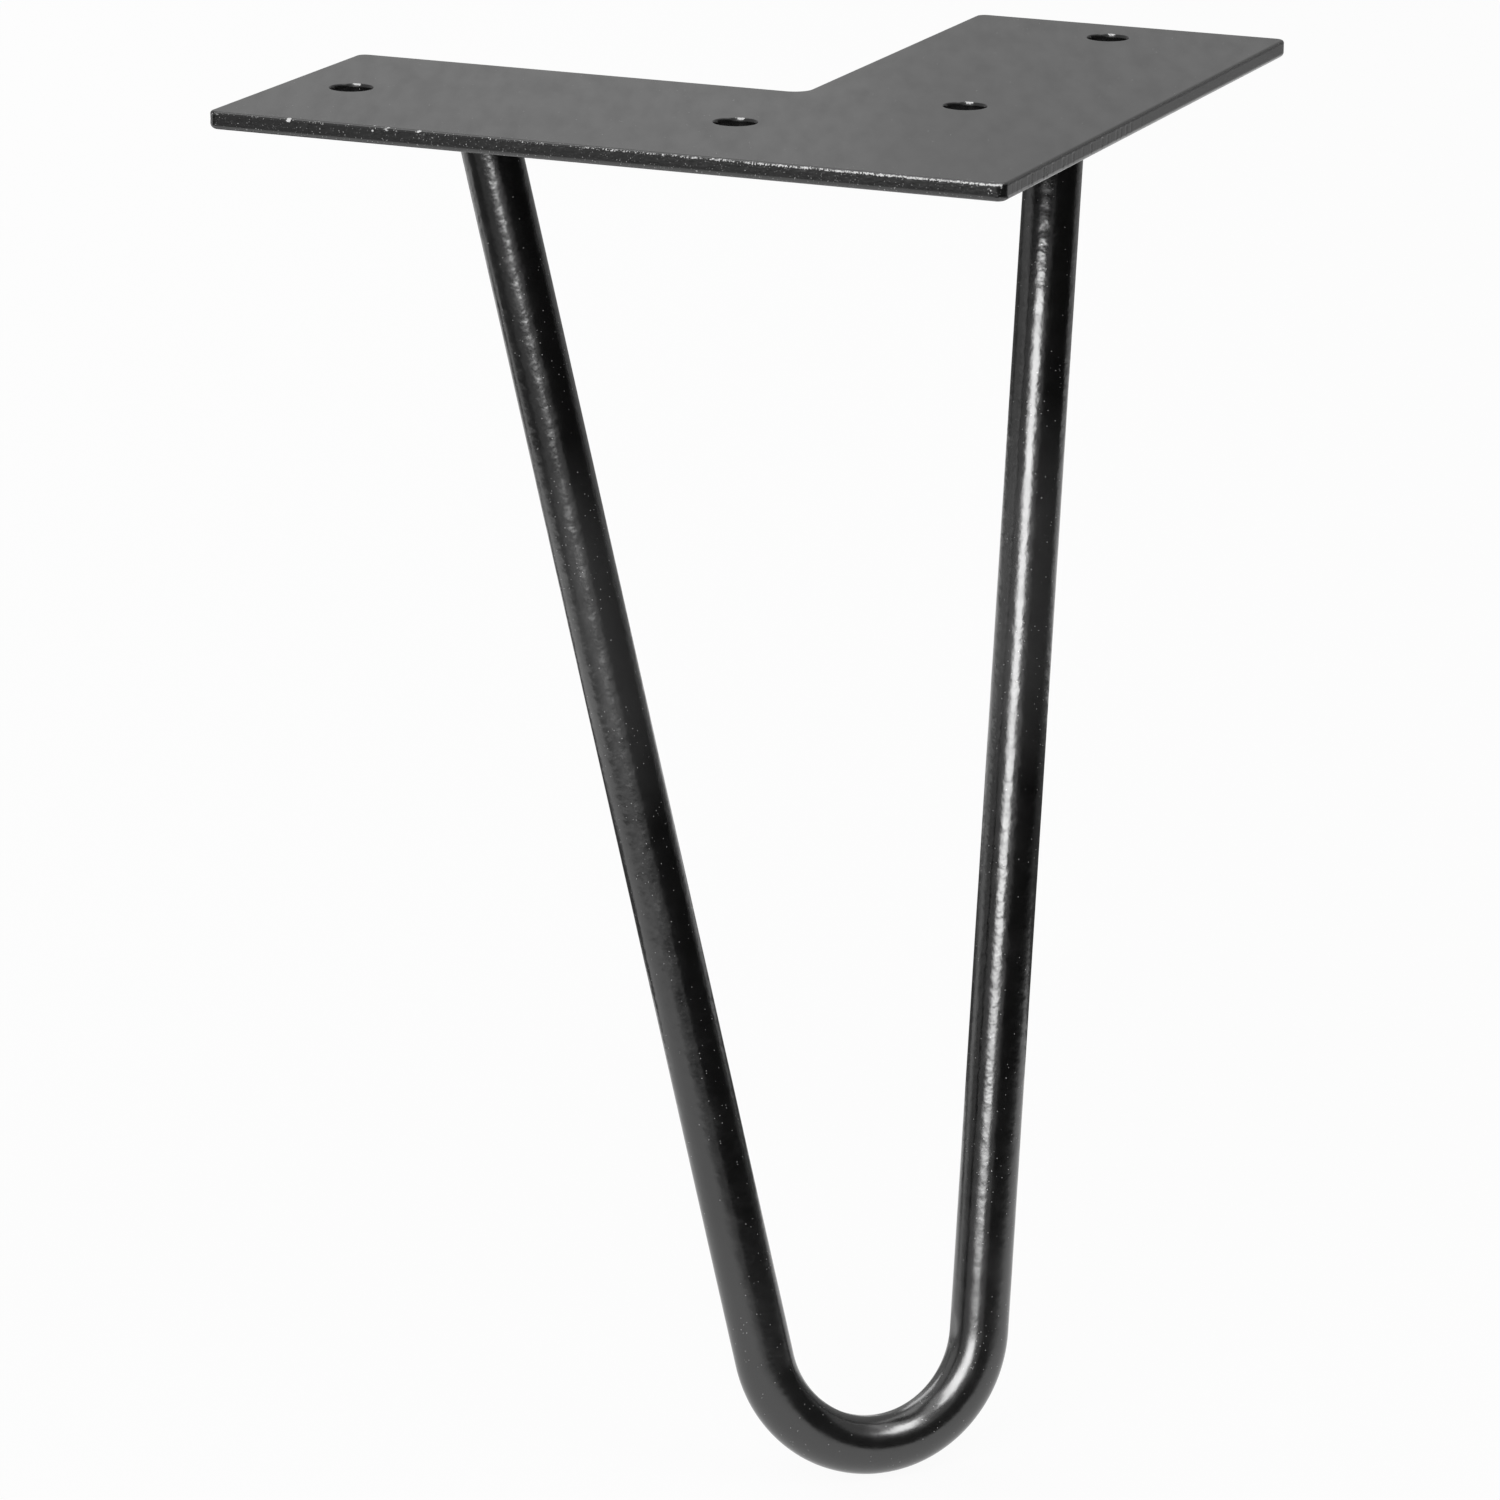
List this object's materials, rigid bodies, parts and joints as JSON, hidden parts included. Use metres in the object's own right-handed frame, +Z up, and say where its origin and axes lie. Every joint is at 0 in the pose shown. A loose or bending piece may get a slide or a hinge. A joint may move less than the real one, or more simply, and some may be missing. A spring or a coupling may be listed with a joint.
{
  "type": "hairpin table leg",
  "caption": "Hairpin table leg: a round rod bent into a narrow V with a rounded foot, leaning outwards, welded under a flat L-shaped mounting plate with screw holes.",
  "frame": {"origin": "on the plate's top face, where the centrelines of the two arms cross", "axes": "+Z up, out of the mounting face; +X and +Y along the centrelines of the two arms; the foot is on the -Z axis"},
  "size_m": [0.1385, 0.1385, 0.23],
  "materials": {
    "black_coat": "satin black coating"
  },
  "bodies": {
    "root": {"mounting_plate": "black_coat", "hairpin_rod": "black_coat", "x_arm_weld_bead": "black_coat", "y_arm_weld_bead": "black_coat"}
  },
  "joints": []
}
